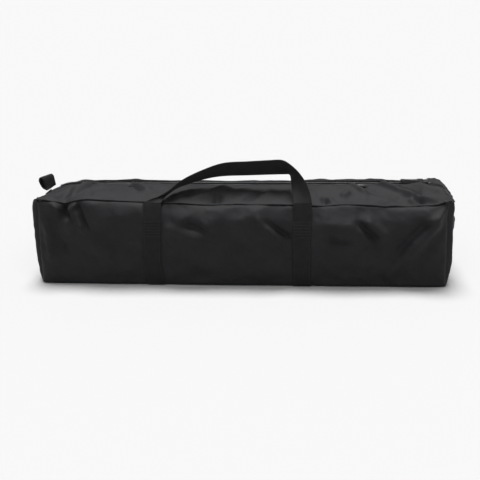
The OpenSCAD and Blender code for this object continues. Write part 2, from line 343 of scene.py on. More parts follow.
def vary_colour(material, scale, dark, light, detail=4.0):
    """Cloudy colour between dark and light, with clouds 1/scale millimetres across."""
    clouds = node(material, "TexNoise", Scale=1.0, Detail=detail, Roughness=0.6)
    wire(run_coordinates(material, (scale, scale, 0)), clouds.inputs["Vector"])
    ramp = node(material, "ValToRGB")
    ramp.color_ramp.elements[0].position = 0.32
    ramp.color_ramp.elements[0].color = (*dark, 1)
    ramp.color_ramp.elements[1].position = 0.7
    ramp.color_ramp.elements[1].color = (*light, 1)
    wire(clouds.outputs["Fac"], ramp.inputs["Fac"])
    wire(ramp.outputs["Color"], shader_input(material, "Base Color"))
    return clouds


def vary_roughness(material, clouds, low, high):
    spread = node(material, "MapRange", To_Min=low, To_Max=high)
    wire(clouds.outputs["Fac"], spread.inputs["Value"])
    wire(spread.outputs["Result"], shader_input(material, "Roughness"))


def bump_chain(material, layers):
    """Bumps one after another: each layer is (height output, distance in millimetres, strength)."""
    previous = None
    for height, distance, strength in layers:
        bump = node(material, "Bump", Strength=strength, Distance=distance * MM)
        wire(height, bump.inputs["Height"])
        if previous:
            wire(previous, bump.inputs["Normal"])
        previous = bump.outputs["Normal"]
    wire(previous, shader_input(material, "Normal"))


def plain_weave(material, pitch):
    """Over-and-under yarns: a product of two waves, one to each way of the cloth."""
    split = node(material, "SeparateXYZ")
    turns = math.pi / pitch
    wire(run_coordinates(material, (turns, turns, 0)), split.inputs["Vector"])
    waves = [calculate(material, "SINE", split.outputs[axis]) for axis in ("X", "Y")]
    return calculate(material, "MULTIPLY", *waves)


def brick_weave(material, along, across):
    """Staggered floats of yarn, as on webbing and tape."""
    bricks = node(material, "TexBrick", Scale=1.0, Mortar_Size=across * 0.16,
                  Mortar_Smooth=1.0, Brick_Width=along, Row_Height=across)
    bricks.offset = 0.5
    wire(run_coordinates(material, (1, 1, 0)), bricks.inputs["Vector"])
    return calculate(material, "SUBTRACT", 1.0, bricks.outputs["Fac"])


def fine_noise(material, scale, detail=3.0):
    grain = node(material, "TexNoise", Scale=1.0, Detail=detail, Roughness=0.55)
    wire(run_coordinates(material, (scale, scale, scale)), grain.inputs["Vector"])
    return grain.outputs["Fac"]


def cloth_material(name, dark, light, rough, specular, sheen):
    material = new_material(name, light, rough, specular, sheen)
    clouds = vary_colour(material, 0.022, dark, light)
    vary_roughness(material, clouds, rough - 0.06, rough + 0.08)
    bump_chain(material, [
        (plain_weave(material, 0.62), 0.12, 0.55),
        (fine_noise(material, 0.16), 0.9, 0.35),
        (fine_noise(material, 0.05, 2.0), 2.2, 0.3),
    ])
    return material


def webbing_material(name, dark, light, along, across):
    material = new_material(name, light, 0.62, 0.16, 0.04)
    clouds = vary_colour(material, 0.09, dark, light, 6.0)
    vary_roughness(material, clouds, 0.5, 0.72)
    bump_chain(material, [
        (brick_weave(material, along, across), 0.35, 0.9),
        (fine_noise(material, 0.9), 0.15, 0.5),
    ])
    return material


def smooth_material(name, colour, rough, specular, sheen, spread, clouds, grain):
    """Thread or nylon wire. spread is dark, light and two roughnesses; grain is scale, depth, strength."""
    material = new_material(name, colour, rough, specular, sheen)
    dark, light, low, high = spread
    vary_roughness(material, vary_colour(material, clouds, dark, light), low, high)
    bump_chain(material, [(fine_noise(material, grain[0]), grain[1], grain[2])])
    return material


def metal_material():
    """Black enamel with a light orange-peel surface, worn to bare zinc on its edges."""
    material = new_material("slider_metal", (0.02, 0.02, 0.022), 0.36, 0.4, 0.0)
    coordinates = node(material, "TexCoord")
    scratch = node(material, "TexNoise", Scale=420.0, Detail=5.0)
    wire(coordinates.outputs["Object"], scratch.inputs["Vector"])
    geometry = node(material, "NewGeometry")
    edge = node(material, "MapRange", From_Min=0.54, From_Max=0.66)
    wire(geometry.outputs["Pointiness"], edge.inputs["Value"])
    worn = calculate(material, "MULTIPLY", edge.outputs["Result"], scratch.outputs["Fac"])
    mix = node(material, "Mix", set_data_type="RGBA")
    mix.inputs["A"].default_value = (0.016, 0.016, 0.018, 1)
    mix.inputs["B"].default_value = (0.1, 0.1, 0.105, 1)
    wire(worn, mix.inputs["Factor"])
    wire(mix.outputs["Result"], shader_input(material, "Base Color"))
    peel = node(material, "TexNoise", Scale=900.0, Detail=2.0)
    wire(coordinates.outputs["Object"], peel.inputs["Vector"])
    bump_chain(material, [(peel.outputs["Fac"], 0.05, 0.5)])
    return material


CLOTH = cloth_material("bag_cloth", (0.0105, 0.0105, 0.0118), (0.0165, 0.0165, 0.018), 0.6, 0.14, 0.05)
LINING = cloth_material("cloth_coating", (0.02, 0.02, 0.022), (0.032, 0.032, 0.034), 0.5, 0.4, 0.0)
WEBBING = webbing_material("webbing", (0.0065, 0.0065, 0.007), (0.0125, 0.0125, 0.013), 3.0, 1.3)
TAPE = webbing_material("zip_tape", (0.008, 0.008, 0.009), (0.013, 0.013, 0.014), 1.4, 0.6)
BINDING = webbing_material("binding", (0.009, 0.009, 0.01), (0.014, 0.014, 0.015), 1.2, 0.8)
THREAD = smooth_material("thread", (0.012, 0.012, 0.013), 0.5, 0.35, 0.05,
                         ((0.007, 0.007, 0.008), (0.016, 0.016, 0.017), 0.42, 0.6), 0.4, (2.2, 0.1, 0.5))
COIL = smooth_material("zip_coil", (0.01, 0.01, 0.011), 0.34, 0.45, 0.0,
                       ((0.007, 0.007, 0.008), (0.014, 0.014, 0.015), 0.28, 0.42), 0.3, (1.5, 0.05, 0.4))
METAL = metal_material()


# -------- the bag's shape

# Each list holds (x, height) points that a seam or an edge passes through
FRONT_SEAM = ((-282, 123), (-264, 121.6), (-252, 119.4), (-240, 115.6), (-230, 119.4), (-220, 122),
              (-180, 121.6), (-128, 118.6), (-80, 117), (-40, 114.6), (-26, 115.2), (20, 116),
              (70, 115.4), (108, 114.2), (147, 116.2), (172, 114.6), (245, 114.6), (262, 116.4),
              (273, 120), (284, 124))
BACK_SEAM = ((-282, 109.5), (-256, 112.5), (-230, 114), (-185, 114), (-145, 116), (-107, 115.4),
             (-51, 114), (-8, 114.5), (58, 116.8), (101, 117.2), (141, 119.4), (170, 118.4), (205, 117),
             (252, 119), (270, 120), (284, 123))
RIDGE = ((-282, 116.5), (-268, 119.2), (-254, 124.8), (-240, 128.6), (-222, 130), (-140, 130.8),
         (-50, 129.8), (60, 130), (140, 130.4), (240, 129.6), (262, 128), (274, 125.6), (284, 122.8))
# How far in the seam lies from the bag's full depth
SEAM_IN = ((-284, 1), (-262, 3), (-250, 5), (-240, 8.2), (-230, 5.6), (-128, 5.4), (-34, 6.2), (60, 5.4),
           (240, 5.4), (266, 2.8), (284, 1))

# Half the width of the crown, where the zip lies
RIDGE_HALF = 9.0
# How late the top falls from the crown to its seam
FALL_POWER = {FRONT: 1.45, BACK: 1.2}


def seam_z(side, x):
    return curve(FRONT_SEAM if side == FRONT else BACK_SEAM, x)


def seam_y(side, x):
    return HALF_W - curve(SEAM_IN, x if side == FRONT else -x)


def side_seam_x(end, z):
    """The vertical seams lean a little, and not alike."""
    if end == LEFT:
        return curve(((0, -281), (52, -280.4), (90, -279), (112, -278.4), (124, -281)), z)
    return curve(((0, 281.2), (73, 278.6), (108, 278), (116, 279.6), (124, 283.4)), z)


def end_seam_x(end, y):
    """Where the top ends: the front corners stand out further than the back ones."""
    if end == LEFT:
        return curve(((-66, -281.4), (0, -280), (66, -277.6)), y)
    return curve(((-66, 283.8), (0, 283), (66, 280.4)), y)


# Each fold is (x0, z0, x1, z1, width, height) on a panel seen square on; a height below 0 is a valley
FRONT_FOLDS = (
    (-258, 121, -245, 106, 4.5, 2.6), (-239, 112, -236, 95, 5, -3.2), (-236, 106, -223, 117, 4, 2.4),
    (-221, 115, -208, 84, 3.6, -3), (-231, 108, -217, 82, 5, 2.2),
    (-258, 96, -252, 68, 5, -1.8), (-252, 68, -242, 54, 5, -1.4), (-268, 90, -262, 40, 7, 1.4),
    (-151, 66, -134, 61, 4, 1.7), (-176, 52, -140, 48, 9, -1.4), (-198, 60, -172, 34, 10, 1.6),
    (-104, 78, -88, 64, 4, 2), (-102, 86, -52, 69, 6, 2.8), (-72, 90, -42, 80, 5.5, -2.6),
    (-60, 50, -20, 30, 12, 1.6), (-88, 40, -60, 18, 9, -1.4),
    (25, 101, 58, 59, 7, 3), (33, 95, 68, 72, 4, -2.8), (-10, 70, 20, 42, 9, -1.6),
    (10, 40, 46, 22, 9, 1.4),
    (104, 92, 156, 86, 12, 2.2), (118, 69, 152, 67, 5, -2.6), (159, 92, 184, 70, 4.6, -3.4),
    (168, 98, 196, 76, 6, 2), (160, 36, 182, 58, 12, 2.4), (112, 44, 150, 22, 9, -1.4),
    (266, 97, 228, 54, 8, 3.2), (228, 54, 200, 20, 8, 2.4), (252, 98, 212, 52, 6, -2.2),
    (256, 64, 236, 22, 8, -2), (273, 111, 262, 99, 4, 2.2), (262, 99, 246, 96, 4, 1.8),
)
BACK_FOLDS = (
    (262, 112, 240, 84, 6, 2.8), (248, 116, 226, 92, 5, -2.8), (210, 84, 168, 58, 8, 2.6),
    (196, 92, 172, 66, 5, -2.4), (130, 98, 104, 62, 6, -2.4), (146, 88, 116, 44, 9, 2.4),
    (60, 96, 16, 70, 7, 2.8), (52, 84, 20, 66, 5, -2.4), (-20, 76, -58, 40, 10, 2.2),
    (-36, 92, -70, 72, 5, -2.6), (-84, 60, -98, 22, 7, -1.8), (-150, 96, -186, 60, 7, 2.8),
    (-142, 84, -172, 50, 5, -2.2), (-206, 72, -240, 30, 9, 2.4), (-232, 104, -256, 78, 5, -2.8),
    (210, 40, 176, 18, 9, -1.6), (40, 42, 2, 22, 9, -1.6), (-130, 30, -90, 16, 9, 1.6),
)

WALL_FOLDS = {FRONT: FRONT_FOLDS, BACK: BACK_FOLDS}
# How far a panel stands out at a share of its height
WALL_SHAPE = ((0, 2.8), (0.015, 4.6), (0.05, 5.4), (0.1, 6.2), (0.35, 8.6), (0.6, 11.6), (0.74, 13.4),
              (0.82, 12.4), (0.91, 8.6), (1, 2.2))
# The fullest point of WALL_SHAPE, and where along the bag it is moved to
CREST_SHARE = 0.74
CREST = {FRONT: ((-282, 0.82), (-190, 0.8), (-130, 0.84), (-60, 0.79), (0, 0.73), (60, 0.72), (130, 0.66),
                 (170, 0.72), (210, 0.78), (250, 0.85), (284, 0.86)),
         BACK: ((-282, 0.8), (-200, 0.74), (-130, 0.8), (-50, 0.76), (30, 0.8), (110, 0.72), (190, 0.8),
                (284, 0.82))}
FULLNESS = ((-282, 0.5), (-230, 0.72), (-165, 1.0), (-118, 0.8), (-60, 1.1), (20, 1.06), (84, 0.84),
            (132, 1.1), (200, 0.9), (258, 1.0), (284, 0.6))
# Height of the panels' lower edges
BASE_Z = 1.2
# Depth and reach of the roll at the vertical seams, and at the front and back top seams
SIDE_LIP = (4.2, 1.8)
TOP_LIP = (4.6, 2.2)
# The top reaches past the seam, and the front and back panels stop short of it
TOP_OVERHANG = 1.8
TOP_GAP = 2.9
# Past this swell the cloth gives only half as much
SWELL_LIMIT = 13
# Folds fade over these distances from a vertical seam and from a top seam
SIDE_CALM = 12
SEAM_CALM = 9
# Folds fade over this share of the height above the base
BASE_CALM = 0.12


def lip(distance, depth=SIDE_LIP[0], reach=SIDE_LIP[1]):
    """Cloth rolls in at a seam: how deep, at a distance from it."""
    return depth * np.exp(-(np.maximum(distance, 0) / reach) ** 1.2)


def strap_mask(x):
    """1 under the two straps, where the sewn webbing keeps the cloth smooth, and 0 elsewhere."""
    near = np.minimum(abs(x - LEFT_X - 1), abs(x - RIGHT_X))
    return 1 - ease((near - STRAP_W / 2 + 1) / 9)


def pucker(along, distance, seed, depth=0.9, length=7.5):
    """Small gathers across a seam, fading out away from it."""
    return depth * noise(along / length, distance / 30, seed) * np.exp(-np.maximum(distance, 0) / 9)


def crinkle(u, v, seed):
    """Loose cloth is never smooth: wide soft waves, and finer ones on them."""
    return (2.0 * noise((u + 0.35 * v) / 46, v / 30, seed)
            + 1.1 * noise((u - v) / 21, (u + v) / 34, seed + 1)
            + 0.42 * noise((u + v) / 8, (u - v) / 13, seed + 2)
            - 2.2 * abs(noise((u + 0.6 * v) / 34, (v - 0.3 * u) / 26, seed + 3)))


def calm(from_side, from_seam):
    """0 at a seam and 1 well away from it: the stitches hold the cloth flat."""
    return ease(from_side / SIDE_CALM) * ease((from_seam + 1.5) / SEAM_CALM)


def wall_out(side, x, z):
    """Distance of the front or back panel's outer face from the bag's middle plane."""
    top = seam_z(side, x)
    share = np.clip((z - BASE_Z) / (top - BASE_Z), 0, 1)
    crest = curve(CREST[side], x)
    warped = np.where(share < crest, share * CREST_SHARE / crest,
                      CREST_SHARE + (share - crest) * (1 - CREST_SHARE) / (1 - crest))
    from_side = np.minimum(x - side_seam_x(-1, z), side_seam_x(1, z) - x)
    from_top = top - z
    swell = curve(WALL_SHAPE, warped) * curve(FULLNESS, x)
    swell *= 1 - np.exp(-np.maximum(from_side, 0) / 8)
    sag_in = (HALF_W - seam_y(side, x)) * ease((share - 0.6) / 0.4)
    loose = strokes(x, z, WALL_FOLDS[side])
    loose += 1.25 * crinkle(x + 500 * side, z, 11 + side)
    loose *= (1 - 0.86 * strap_mask(x)) * ease(share / BASE_CALM) * calm(from_side, from_top)
    gathers = pucker(x, from_top, 5 + side) + pucker(z, from_side, 8 + side, 0.7)
    out = HALF_W - sag_in + swell + loose + gathers - lip(from_top, *TOP_LIP) - lip(from_side)
    return out - 0.5 * np.maximum(out - HALF_W - SWELL_LIMIT, 0)


def top_height(side, x, y_out):
    """Height of the top cloth at a distance y_out from the bag's middle plane."""
    reach = seam_y(side, x)
    share = np.clip((y_out - RIDGE_HALF) / (reach - RIDGE_HALF), 0, 1)
    base = seam_z(side, x)
    ridge = curve(RIDGE, x)
    return base + (ridge - base) * (1 - share ** FALL_POWER[side])


TOP_FRONT_FOLDS = (
    (-229, 46, -204, 14, 4, -2), (-240, 40, -216, 12, 5, 1.8), (-252, 52, -236, 30, 5, -1.8),
    (-162, 10, -140, 36, 4, -1.8), (-150, 10, -128, 34, 5, 1.4),
    (-60, 50, -20, 24, 6, 1.6), (-34, 62, -29, 42, 5, -2.4), (8, 56, 36, 30, 5, -1.6),
    (149, 10, 170, 36, 4, 2.2), (158, 8, 184, 34, 5, -1.8),
    (187, 9, 226, 38, 4.4, 3.2), (226, 38, 263, 60, 4.4, 3), (202, 9, 244, 42, 5, -2.6),
    (232, 9, 280, 44, 8, 2.6), (237, 47, 247, 63, 3.2, -3.2), (228, 50, 238, 63, 4, 1.8),
    (138, 44, 148, 36, 4, 1.6), (112, 44, 119, 60, 3, -2), (120, 46, 128, 60, 3.5, 1.5),
    (-200, 54, -180, 40, 6, 1.4), (-96, 58, -84, 40, 5, -1.6),
)
TOP_BACK_FOLDS = (
    (-236, 14, -210, 46, 5, 1.8), (-246, 20, -226, 54, 5, -2.2), (-180, 48, -150, 16, 6, 1.6),
    (-104, 14, -84, 40, 5, -1.8), (-60, 52, -40, 26, 6, 1.5), (20, 14, 48, 44, 5, -2),
    (96, 52, 120, 22, 5, 1.8), (108, 56, 132, 30, 4, -1.8), (176, 14, 204, 48, 5, 2),
    (226, 50, 250, 20, 5, -2.2), (240, 56, 262, 28, 5, 1.8),
)
TOP_FOLDS = {FRONT: TOP_FRONT_FOLDS, BACK: TOP_BACK_FOLDS}
# Loose cloth arches up between seam and zip, and the back half lies smoother
TOP_ARCH = {FRONT: 1.6, BACK: 0.2}
TOP_LOOSE = {FRONT: 1.0, BACK: 0.45}
TOP_HALF_SPAN = 56


def top_out(side, x, y_out):
    """Height of the top cloth with its folds."""
    height = top_height(side, x, y_out)
    from_seam = seam_y(side, x) - y_out
    from_end = np.minimum(x - end_seam_x(-1, side * y_out), end_seam_x(1, side * y_out) - x)
    arch = TOP_ARCH[side] * np.sin(np.pi * np.clip(from_seam / TOP_HALF_SPAN, 0, 1))
    loose = strokes(x, y_out, TOP_FOLDS[side]) + crinkle(x - 300 * side, y_out, 31 + side)
    loose = TOP_LOOSE[side] * loose + arch
    loose *= calm(from_end, from_seam) * ease((y_out - RIDGE_HALF + 1) / SEAM_CALM)
    gathers = pucker(x, from_seam, 15 + side, 0.6, 16) + pucker(y_out, from_end, 18 + side, 0.5, 14)
    gathers *= ease((y_out - RIDGE_HALF + 1) / 6)
    turned_down = np.exp(-np.maximum(y_out - RIDGE_HALF, 0) / 1.6)
    turned_down += 1.3 * np.exp(-(from_seam + TOP_OVERHANG) / 1.6)
    return height + loose + gathers - 0.4 * lip(from_end) - turned_down


def add_rows(points, direction, depth, first=False):
    """Adds the seam allowance: rows that carry on from an edge into the bag."""
    steps = np.array([0.35, 0.7, 1.0])[:, None, None] * depth
    edge = points[:1] if first else points[-1:]
    made = edge + steps * np.array(direction)
    return np.concatenate([made[::-1], points]) if first else np.concatenate([points, made])


def tucked(points, first_row, last_row, first_col, last_col, depth=4.0):
    points = add_rows(points, first_row, depth, True)
    points = add_rows(points, last_row, depth)
    turned = points.transpose(1, 0, 2)
    turned = add_rows(turned, first_col, depth, True)
    turned = add_rows(turned, last_col, depth)
    return turned.transpose(1, 0, 2)


# The way the cloth coordinates run on over a seam allowance: below, above, left and right
RUN_TUCKS = ((0, -1, 0), (0, 1, 0), (-1, 0, 0), (1, 0, 0))


def sewn_panel(name, points, axes, tucks, away, run_tucks=RUN_TUCKS, depth=4.0):
    """A panel with its seam allowances; the cloth runs along two of the three axes."""
    run = np.dstack([points[..., axes[0]], points[..., axes[1]], 0 * points[..., 0]])
    run = tucked(run, *run_tucks)[..., :2]
    points = tucked(points, *tucks, depth)
    return cloth_piece(name + "_cloth", points, CLOTH_T, run, CLOTH, away, LINING)


def between(left, right, x0):
    """X from one seam to the other, for x0 running over the bag's full length."""
    return left + (right - left) * (x0 + HALF_L) / (2 * HALF_L)


def wall_panel(side):
    along = stations(2 * HALF_L, 2.0) - HALF_L
    up = stations(100, 1.7) / 100
    share, x0 = np.meshgrid(up, along, indexing="ij")
    z = BASE_Z + share * (seam_z(side, x0) - TOP_GAP - BASE_Z)
    x = between(side_seam_x(LEFT, z), side_seam_x(RIGHT, z), x0)
    z = BASE_Z + share * (seam_z(side, x) - TOP_GAP - BASE_Z)
    points = xyz(x, side * wall_out(side, x, z), z)
    tucks = ((0, -side, 0.1), (0, -side, 0.5), (0.12, -side, 0), (-0.12, -side, 0))
    name = SIDES[side] + "_panel"
    piece = sewn_panel(name, points, (0, 2), tucks, (0, side, 0))
    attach(piece, "bag")
    finish(piece, "cloth", name)


def top_panel(side):
    along = stations(2 * HALF_L, 2.0) - HALF_L
    across = stations(HALF_W - RIDGE_HALF, 1.7) / (HALF_W - RIDGE_HALF)
    share, x0 = np.meshgrid(across, along, indexing="ij")
    edge = seam_y(side, x0) + TOP_OVERHANG
    y_out = edge + share * (RIDGE_HALF - edge)
    x = between(end_seam_x(LEFT, side * y_out), end_seam_x(RIGHT, side * y_out), x0)
    z = top_out(side, x, y_out) + CLOTH_T / 2
    points = xyz(x, side * y_out, z)
    tucks = ((0, -side, -0.12), (0, side * 0.9, -0.5), (1, 0, -0.3), (-1, 0, -0.3))
    run_tucks = ((0, side, 0), (0, -side, 0), (-1, 0, 0), (1, 0, 0))
    name = f"top_{SIDES[side]}_panel"
    piece = sewn_panel(name, points, (0, 1), tucks, (0, 0, 1), run_tucks, 3.5)
    flap_blend(piece)
    finish(piece, "cloth", name)


END_SWELL = ((0, 0.1), (0.08, 0.45), (0.25, 0.8), (0.5, 0.95), (0.8, 1.05), (0.92, 0.98), (1, 0.5))
END_FOLDS = ((-40, 96, -18, 52, 7, 2.2), (-28, 100, -4, 60, 5, -2), (22, 88, 44, 40, 8, 2.2),
             (10, 78, 34, 36, 5, -1.8), (-52, 48, -30, 20, 6, -1.6), (40, 104, 54, 76, 5, -1.8))
END_BULGE = 8.6
END_HALF = HALF_W - 1.5


def end_panel(end):
    across = stations(2 * END_HALF, 1.8) - END_HALF
    up = stations(100, 1.8) / 100
    share, y = np.meshgrid(up, across, indexing="ij")
    seam_x = end * (HALF_L + 1)
    edge = np.where(y < 0, top_height(FRONT, seam_x, np.maximum(-y, RIDGE_HALF)),
                    top_height(BACK, seam_x, np.maximum(y, RIDGE_HALF)))
    z = BASE_Z + share * (edge - 1.9 - BASE_Z)
    from_side = END_HALF - abs(y)
    from_top = edge - z
    swell = END_BULGE * curve(END_SWELL, share) * (1 - np.exp(-from_side / 2.4))
    swell += 0.8 * (1 - (y / HALF_W) ** 2) * share
    # The tab's anchor holds the left end flat around it
    held = np.exp(-((y / 24) ** 2) - ((z - TAB_FOLD[2] + 6) / 17) ** 2) if end == LEFT else 0.0
    loose = strokes(y * end, z, END_FOLDS) + 0.9 * crinkle(y + 80 * end, z, 51 + end)
    loose *= ease(share / BASE_CALM) * calm(from_side, from_top) * (1 - held)
    gathers = pucker(y, from_top, 25 + end) + pucker(z, from_side, 28 + end, 0.7)
    out = swell * (1 - 0.98 * held) + loose + gathers - lip(from_side) - lip(from_top)
    points = xyz(side_seam_x(end, z) + end * (out + 0.6), y, z)
    tucks = ((-end, 0, 0.1), (-end, 0, -0.1), (-end, 0.12, 0), (-end, -0.12, 0))
    name = ENDS[end] + "_end_panel"
    piece = sewn_panel(name, points, (1, 2), tucks, (end, 0, 0))
    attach(piece, "bag")
    finish(piece, "cloth", name)


def base_panel():
    along = stations(2 * HALF_L - 3, 4.0) - HALF_L + 1.5
    across = stations(2 * HALF_W - 6, 4.0) - HALF_W + 3
    x, share = np.meshgrid(along, across / across[-1], indexing="ij")
    reach = np.where(share < 0, wall_out(FRONT, x, BASE_Z), wall_out(BACK, x, BASE_Z)) - 1.6
    y = share * reach
    raised = 1.6 * strap_mask(x)
    z = 0.35 + raised + 0.25 * (1 + noise(x / 30, y / 30, 71)) + 0.6 * np.exp(-(reach - abs(y)) / 3)
    points = xyz(x, y, z)
    points = tucked(points, (0, 0, 1), (0, 0, 1), (0, 0, 1), (0, 0, 1), 2.5)
    piece = cloth_piece("base_panel_cloth", points, CLOTH_T, points[..., :2], CLOTH, (0, 0, -1), LINING)
    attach(piece, "bag")
    finish(piece, "cloth", "base_panel")


# -------- baking pieces in place


def piece_points(piece):
    points = np.zeros(len(piece.data.vertices) * 3)
    piece.data.vertices.foreach_get("co", points)
    return points.reshape(-1, 3) / MM


def flap_blend(piece):
    """Bakes the piece's placing into its points and reads the points back; nothing more is done with them.
    """
    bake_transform(piece)
    points = piece_points(piece)


# -------- webbing

# Points across the webbing, and how much of its half thickness it has there
ACROSS = np.array([-1, -0.965, -0.85, -0.6, -0.3, 0, 0.3, 0.6, 0.85, 0.965, 1])
EDGE_ROUND = np.array([0.35, 0.8, 1, 1, 1, 1, 1, 1, 1, 0.8, 0.35])


def ribbon_frames(centres, widths):
    """Outward directions for a path, square to its run and its width."""
    run = np.gradient(centres, axis=0)
    return unit(np.cross(unit(widths), unit(run)))


def ribbon(name, centres, widths, facing=1):
    """Webbing along a middle line; widths is one half-width vector for all of it, or one to each row."""
    widths = np.broadcast_to(widths, centres.shape)
    faces_out = facing * ribbon_frames(centres, widths)
    run_along = np.concatenate([[0], np.cumsum(np.linalg.norm(np.diff(centres, axis=0), axis=1))])
    half = STRAP_T / 2 * EDGE_ROUND
    middle = centres[:, None] + widths[:, None] * ACROSS[None, :, None]
    upper = middle + faces_out[:, None] * half[None, :, None]
    lower = middle - faces_out[:, None] * half[None, :, None]
    rings = np.concatenate([upper, lower[:, ::-1]], axis=1)
    width = np.linalg.norm(widths[len(widths) // 2])
    side = np.concatenate([ACROSS, ACROSS[::-1]]) * width
    return ring_tube(name, rings, WEBBING, xyz(run_along[:, None], side, 0))


def leg_x(middle, z):
    """The left strap wanders a little as it goes down; the right one is straight."""
    if middle < 0:
        return middle + curve(((0, 2.4), (12, 0.4), (34, -2.2), (70, -0.8), (94, 0.8), (118, 0)), z)
    return middle + curve(((0, 0.4), (60, -0.3), (118, 0)), z)


STRAP_SPREAD = (-9, -4, 0, 4, 9)


def under_strap(side, x, z):
    """How far out the cloth stands under a strap, as a mean over its width."""
    return np.mean([wall_out(side, x + s, z) for s in STRAP_SPREAD], axis=0)


def leg_rows(side, middle, top):
    """Points of a strap's middle line on the front or the back, from the base to its fold line."""
    z = np.concatenate([[2.2, 4.2, 7.5], np.arange(11, TACK_TOP + 2, 3.0)])
    x = leg_x(middle, z)
    out = under_strap(side, x, z) + STRAP_T / 2 + 0.25
    last = out[-1]
    free_z = np.array([0.3, 0.6, 0.85, 1.0]) * (top[2] - z[-1]) + z[-1]
    free_out = last + (abs(top[1]) - last) * np.array([0.25, 0.52, 0.8, 1.0])
    z = np.concatenate([z, free_z])
    x = np.concatenate([x, leg_x(middle, free_z)])
    out = np.concatenate([out, free_out])
    return xyz(x, side * out, z)


def girth_strap(middle, name):
    front = leg_rows(FRONT, middle, FRONT_FOLD)
    back = leg_rows(BACK, middle, BACK_FOLD)
    under_y = np.linspace(front[0][1] + 4, back[0][1] - 4, 24)
    under = xyz(leg_x(middle, 0), under_y, STRAP_T / 2 + 0.1)
    centres = smooth_path(np.concatenate([front[::-1], under, back]), 3)
    centres[:, 2] = np.maximum(centres[:, 2], STRAP_T / 2 + 0.05)
    piece = ribbon(name + "_webbing", centres, [STRAP_W / 2, 0, 0])
    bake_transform(piece)
    points = piece_points(piece)
    return finish(piece, "webbing", name)


# Distance between the two straps' middles that the rows below are drawn for
HANDLE_SPAN = 202.5
# Each row is the webbing's inner and outer edge. X is measured from the left strap's middle,
# Y and Z from the fold line
HANDLE_ROWS = (
    ((12.5, 0, 0), (-12.5, 0, 0)), ((17, 9, 6), (-2, 2, 4.5)), ((23, 21, 9.5), (10, 5, 8.5)),
    ((31, 30, 13.5), (22, 7.5, 15)), ((50, 37, 19), (41, 16, 28.5)), ((73, 40.5, 24.5), (66, 24, 39.5)),
    ((96, 41.5, 27.5), (95, 29, 48.5)), ((128, 41.5, 28.5), (128, 30, 50.5)),
    ((158, 41.5, 29.5), (157, 30.5, 52)), ((176, 41.5, 30), (174, 30, 52.5)),
    ((185, 39, 30), (185, 25, 48)),
    ((187, 31, 25.5), (198, 16, 38)), ((188, 20, 17), (208, 9.5, 24)), ((189.5, 8, 7.5), (213.5, 4, 9.5)),
    ((190, 0, 0), (215, 0, 0)),
)
BACK_HANG = math.radians(186)


def handle_path():
    inner = smooth_path([r[0] for r in HANDLE_ROWS], 7)
    outer = smooth_path([r[1] for r in HANDLE_ROWS], 7)
    stretch = np.array([(RIGHT_X - LEFT_X) / HANDLE_SPAN, 1, 1])
    return inner * stretch, outer * stretch


def handle(name, fold, turn, facing):
    """A handle turned about its fold line; facing is -1 for the mirrored one."""
    inner, outer = handle_path()
    cos, sin = math.cos(turn), math.sin(turn)
    spin = np.array([[1, 0, 0], [0, cos, -sin], [0, sin, cos]])
    mirror = np.array([1, facing, 1])
    origin = np.array([LEFT_X, fold[1], fold[2]])
    inner = inner @ spin.T * mirror + origin
    outer = outer @ spin.T * mirror + origin
    piece = ribbon(name + "_webbing", (inner + outer) / 2, (outer - inner) / 2, facing)
    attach(piece, name)
    finish(piece, "webbing", name)


def end_tab():
    """A loop of webbing that stands at the end of the zip, leaning outward."""
    low, high = cad_box("end_tab")
    lean, turn = math.radians(17), math.radians(-20)
    loop = ((-1.1, 0.4), (-2.7, 3.5), (-4.6, 8), (-5.4, 12.6), (-4.8, 16.4), (-2.2, 18.8), (0.8, 18.4),
            (2.4, 16), (2.3, 12), (1.6, 6), (1.1, 0.4))
    flat = smooth_path([(x, 0, z) for x, z in loop], 4)
    cos, sin = math.cos(lean), math.sin(lean)
    out = flat[:, 0] * cos - flat[:, 2] * sin
    up = flat[:, 0] * sin + flat[:, 2] * cos
    turned = turn * ease(up / 3)
    half = (high[1] - low[1]) / 2
    centres = xyz(TAB_FOLD[0] + 1.2 + out * np.cos(turned), out * np.sin(turned), TAB_FOLD[2] + up)
    widths = half * xyz(-np.sin(turned), np.cos(turned), 0)
    piece = ribbon("end_tab_webbing", centres, widths)
    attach(piece, "end_tab")
    finish(piece, "webbing", "end_tab")


def end_tab_anchor():
    """The tab's sewn end, flat on the left end panel."""
    low, high = cad_box("end_tab_anchor")
    z = np.linspace(low[2] - 2, high[2] - 2.5, 9)
    bow = 0.5 * np.sin(np.linspace(0, math.pi, len(z)))
    centres = xyz((low[0] + high[0]) / 2 - bow, 0, z)
    piece = ribbon("end_tab_anchor_webbing", centres, [0, (high[1] - low[1]) / 2, 0])
    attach(piece, "bag")
    finish(piece, "webbing", "end_tab_anchor")


# -------- thread

# Each ring of a stitch: its place along the stitch, and its share of the full diameter
STITCH_RINGS = ((-0.5, 0.3), (-0.36, 0.85), (0, 1), (0.36, 0.85), (0.5, 0.3))
STITCH_SIDES = 6


def stitches(name, centres, along, out, length, diameter):
    """Short round-ended bars of thread. along and out are one direction for all, or one for each."""
    directions = unit(np.broadcast_to(np.asarray(along, float), centres.shape))
    outs = unit(np.broadcast_to(np.asarray(out, float), centres.shape))
    aside = unit(np.cross(directions, outs))
    angles = np.arange(STITCH_SIDES) * 2 * math.pi / STITCH_SIDES
    rings = []
    for share, size in STITCH_RINGS:
        sag = -0.25 * diameter * (2 * share) ** 2
        middle = centres + directions * share * length + outs * sag
        turn = aside[:, None] * np.cos(angles)[:, None] + outs[:, None] * np.sin(angles)[:, None]
        rings.append(middle[:, None] + turn * size * diameter / 2)
    return ring_tube(name, np.stack(rings, axis=1), THREAD)


def on_strap(side, middle, across, z, lift):
    """Places on the outer face of a strap's sewn part."""
    x = leg_x(middle, z)
    return xyz(x + across, side * (under_strap(side, x, z) + STRAP_T + 0.35 + lift), z)


